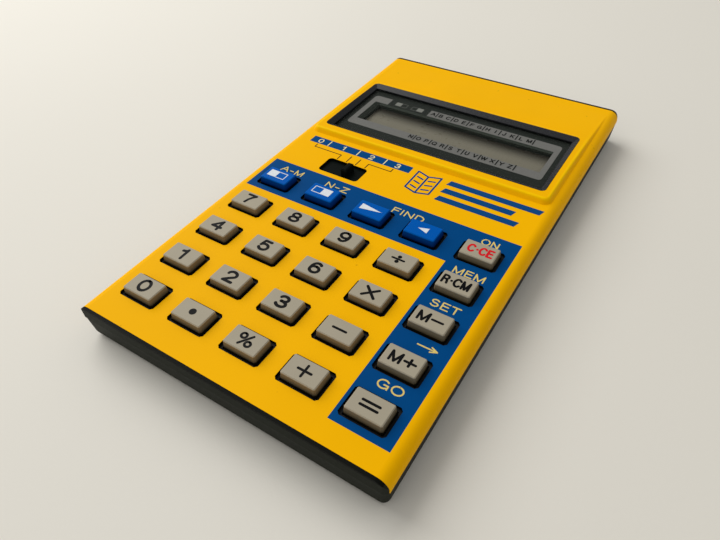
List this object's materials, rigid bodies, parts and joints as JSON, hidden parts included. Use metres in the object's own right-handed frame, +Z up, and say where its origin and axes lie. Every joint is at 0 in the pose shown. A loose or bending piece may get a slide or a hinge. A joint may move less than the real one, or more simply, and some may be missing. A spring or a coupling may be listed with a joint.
{
  "type": "electronic dictionary",
  "caption": "Flat pocket electronic dictionary and calculator with metal front, display window, press keys, a slide switch and a sliding battery cover.",
  "frame": {"origin": "middle of the flat base, where it rests on a table", "axes": "+Z up out of the key tops, +Y from the keys to the display, +X to the right of a reader"},
  "size_m": [0.0728, 0.128, 0.0106],
  "materials": {
    "case_plastic": "fine matt grain",
    "yellow_sheet": "satin enamel",
    "chassis_plastic": "plain moulded",
    "bezel_plastic": "satin",
    "window": "polished clear with printed mask",
    "film": "clear film",
    "cell_glass": "polished",
    "reflector": "matt reflector film",
    "white_plastic": "plain moulded",
    "strip_rubber": "matt",
    "board": "resist coated laminate",
    "chip": "moulded epoxy",
    "can_metal": "drawn can",
    "mat_rubber": "matt",
    "contact_brass": "plated",
    "knob_plastic": "moulded",
    "cell_steel": "satin",
    "screw_steel": "blackened",
    "key_grey": "moulded, legend printed",
    "key_blue": "moulded, sign printed"
  },
  "bodies": {
    "case": {"lower_case": "case_plastic", "top_panel": "yellow_sheet", "inner_chassis": "chassis_plastic", "display_bezel": "bezel_plastic", "display_window": "window", "cell_front_film": "film", "cell_front_glass": "cell_glass", "cell_rear_glass": "cell_glass", "cell_reflector": "reflector", "cell_frame": "white_plastic", "connector_strip_front": "strip_rubber", "connector_strip_rear": "strip_rubber", "main_board": "board", "processor_chip": "chip", "memory_chip_left": "chip", "memory_chip_right": "chip", "timing_crystal": "can_metal", "capacitor_left": "can_metal", "capacitor_right": "can_metal", "key_mat": "mat_rubber", "key_pills": "strip_rubber", "switch_tracks": "contact_brass", "battery_cell_left": "cell_steel", "battery_cell_right": "cell_steel", "battery_spring_left": "contact_brass", "battery_spring_right": "contact_brass", "case_screws": "screw_steel", "board_screws": "screw_steel"},
    "switch": {"switch_knob": "knob_plastic", "switch_wiper": "contact_brass"},
    "battery_door": {"battery_cover": "case_plastic", "battery_link": "cell_steel"},
    "key_set_left": {"key_set_left": "key_blue"},
    "key_set_right": {"key_set_right": "key_blue"},
    "key_forward": {"key_forward": "key_blue"},
    "key_back": {"key_back": "key_blue"},
    "key_clear": {"key_clear": "key_grey"},
    "key_7": {"key_7": "key_grey"},
    "key_8": {"key_8": "key_grey"},
    "key_9": {"key_9": "key_grey"},
    "key_divide": {"key_divide": "key_grey"},
    "key_recall": {"key_recall": "key_grey"},
    "key_4": {"key_4": "key_grey"},
    "key_5": {"key_5": "key_grey"},
    "key_6": {"key_6": "key_grey"},
    "key_multiply": {"key_multiply": "key_grey"},
    "key_memory_minus": {"key_memory_minus": "key_grey"},
    "key_1": {"key_1": "key_grey"},
    "key_2": {"key_2": "key_grey"},
    "key_3": {"key_3": "key_grey"},
    "key_minus": {"key_minus": "key_grey"},
    "key_memory_plus": {"key_memory_plus": "key_grey"},
    "key_0": {"key_0": "key_grey"},
    "key_point": {"key_point": "key_grey"},
    "key_percent": {"key_percent": "key_grey"},
    "key_plus": {"key_plus": "key_grey"},
    "key_equals": {"key_equals": "key_grey"}
  },
  "joints": [
    {"name": "switch_slide", "type": "slide", "parent": "case", "child": "switch", "axis": [1, 0, 0], "range_m": [-0.0056, 0.0028]},
    {"name": "battery_cover_slide", "type": "slide", "parent": "case", "child": "battery_door", "axis": [0, 1, 0], "range_m": [0, 0.02]},
    {"name": "key_set_left_press", "type": "slide", "parent": "case", "child": "key_set_left", "axis": [0, 0, -1], "range_m": [0, 0.001], "stiffness_N_per_m": 200, "springref_m": -0.0015, "deforming": ["key_mat"]},
    {"name": "key_set_right_press", "type": "slide", "parent": "case", "child": "key_set_right", "axis": [0, 0, -1], "range_m": [0, 0.001], "stiffness_N_per_m": 200, "springref_m": -0.0015, "deforming": ["key_mat"]},
    {"name": "key_forward_press", "type": "slide", "parent": "case", "child": "key_forward", "axis": [0, 0, -1], "range_m": [0, 0.001], "stiffness_N_per_m": 200, "springref_m": -0.0015, "deforming": ["key_mat"]},
    {"name": "key_back_press", "type": "slide", "parent": "case", "child": "key_back", "axis": [0, 0, -1], "range_m": [0, 0.001], "stiffness_N_per_m": 200, "springref_m": -0.0015, "deforming": ["key_mat"]},
    {"name": "key_clear_press", "type": "slide", "parent": "case", "child": "key_clear", "axis": [0, 0, -1], "range_m": [0, 0.001], "stiffness_N_per_m": 200, "springref_m": -0.0015, "deforming": ["key_mat"]},
    {"name": "key_7_press", "type": "slide", "parent": "case", "child": "key_7", "axis": [0, 0, -1], "range_m": [0, 0.001], "stiffness_N_per_m": 200, "springref_m": -0.0015, "deforming": ["key_mat"]},
    {"name": "key_8_press", "type": "slide", "parent": "case", "child": "key_8", "axis": [0, 0, -1], "range_m": [0, 0.001], "stiffness_N_per_m": 200, "springref_m": -0.0015, "deforming": ["key_mat"]},
    {"name": "key_9_press", "type": "slide", "parent": "case", "child": "key_9", "axis": [0, 0, -1], "range_m": [0, 0.001], "stiffness_N_per_m": 200, "springref_m": -0.0015, "deforming": ["key_mat"]},
    {"name": "key_divide_press", "type": "slide", "parent": "case", "child": "key_divide", "axis": [0, 0, -1], "range_m": [0, 0.001], "stiffness_N_per_m": 200, "springref_m": -0.0015, "deforming": ["key_mat"]},
    {"name": "key_recall_press", "type": "slide", "parent": "case", "child": "key_recall", "axis": [0, 0, -1], "range_m": [0, 0.001], "stiffness_N_per_m": 200, "springref_m": -0.0015, "deforming": ["key_mat"]},
    {"name": "key_4_press", "type": "slide", "parent": "case", "child": "key_4", "axis": [0, 0, -1], "range_m": [0, 0.001], "stiffness_N_per_m": 200, "springref_m": -0.0015, "deforming": ["key_mat"]},
    {"name": "key_5_press", "type": "slide", "parent": "case", "child": "key_5", "axis": [0, 0, -1], "range_m": [0, 0.001], "stiffness_N_per_m": 200, "springref_m": -0.0015, "deforming": ["key_mat"]},
    {"name": "key_6_press", "type": "slide", "parent": "case", "child": "key_6", "axis": [0, 0, -1], "range_m": [0, 0.001], "stiffness_N_per_m": 200, "springref_m": -0.0015, "deforming": ["key_mat"]},
    {"name": "key_multiply_press", "type": "slide", "parent": "case", "child": "key_multiply", "axis": [0, 0, -1], "range_m": [0, 0.001], "stiffness_N_per_m": 200, "springref_m": -0.0015, "deforming": ["key_mat"]},
    {"name": "key_memory_minus_press", "type": "slide", "parent": "case", "child": "key_memory_minus", "axis": [0, 0, -1], "range_m": [0, 0.001], "stiffness_N_per_m": 200, "springref_m": -0.0015, "deforming": ["key_mat"]},
    {"name": "key_1_press", "type": "slide", "parent": "case", "child": "key_1", "axis": [0, 0, -1], "range_m": [0, 0.001], "stiffness_N_per_m": 200, "springref_m": -0.0015, "deforming": ["key_mat"]},
    {"name": "key_2_press", "type": "slide", "parent": "case", "child": "key_2", "axis": [0, 0, -1], "range_m": [0, 0.001], "stiffness_N_per_m": 200, "springref_m": -0.0015, "deforming": ["key_mat"]},
    {"name": "key_3_press", "type": "slide", "parent": "case", "child": "key_3", "axis": [0, 0, -1], "range_m": [0, 0.001], "stiffness_N_per_m": 200, "springref_m": -0.0015, "deforming": ["key_mat"]},
    {"name": "key_minus_press", "type": "slide", "parent": "case", "child": "key_minus", "axis": [0, 0, -1], "range_m": [0, 0.001], "stiffness_N_per_m": 200, "springref_m": -0.0015, "deforming": ["key_mat"]},
    {"name": "key_memory_plus_press", "type": "slide", "parent": "case", "child": "key_memory_plus", "axis": [0, 0, -1], "range_m": [0, 0.001], "stiffness_N_per_m": 200, "springref_m": -0.0015, "deforming": ["key_mat"]},
    {"name": "key_0_press", "type": "slide", "parent": "case", "child": "key_0", "axis": [0, 0, -1], "range_m": [0, 0.001], "stiffness_N_per_m": 200, "springref_m": -0.0015, "deforming": ["key_mat"]},
    {"name": "key_point_press", "type": "slide", "parent": "case", "child": "key_point", "axis": [0, 0, -1], "range_m": [0, 0.001], "stiffness_N_per_m": 200, "springref_m": -0.0015, "deforming": ["key_mat"]},
    {"name": "key_percent_press", "type": "slide", "parent": "case", "child": "key_percent", "axis": [0, 0, -1], "range_m": [0, 0.001], "stiffness_N_per_m": 200, "springref_m": -0.0015, "deforming": ["key_mat"]},
    {"name": "key_plus_press", "type": "slide", "parent": "case", "child": "key_plus", "axis": [0, 0, -1], "range_m": [0, 0.001], "stiffness_N_per_m": 200, "springref_m": -0.0015, "deforming": ["key_mat"]},
    {"name": "key_equals_press", "type": "slide", "parent": "case", "child": "key_equals", "axis": [0, 0, -1], "range_m": [0, 0.001], "stiffness_N_per_m": 200, "springref_m": -0.0015, "deforming": ["key_mat"]}
  ]
}
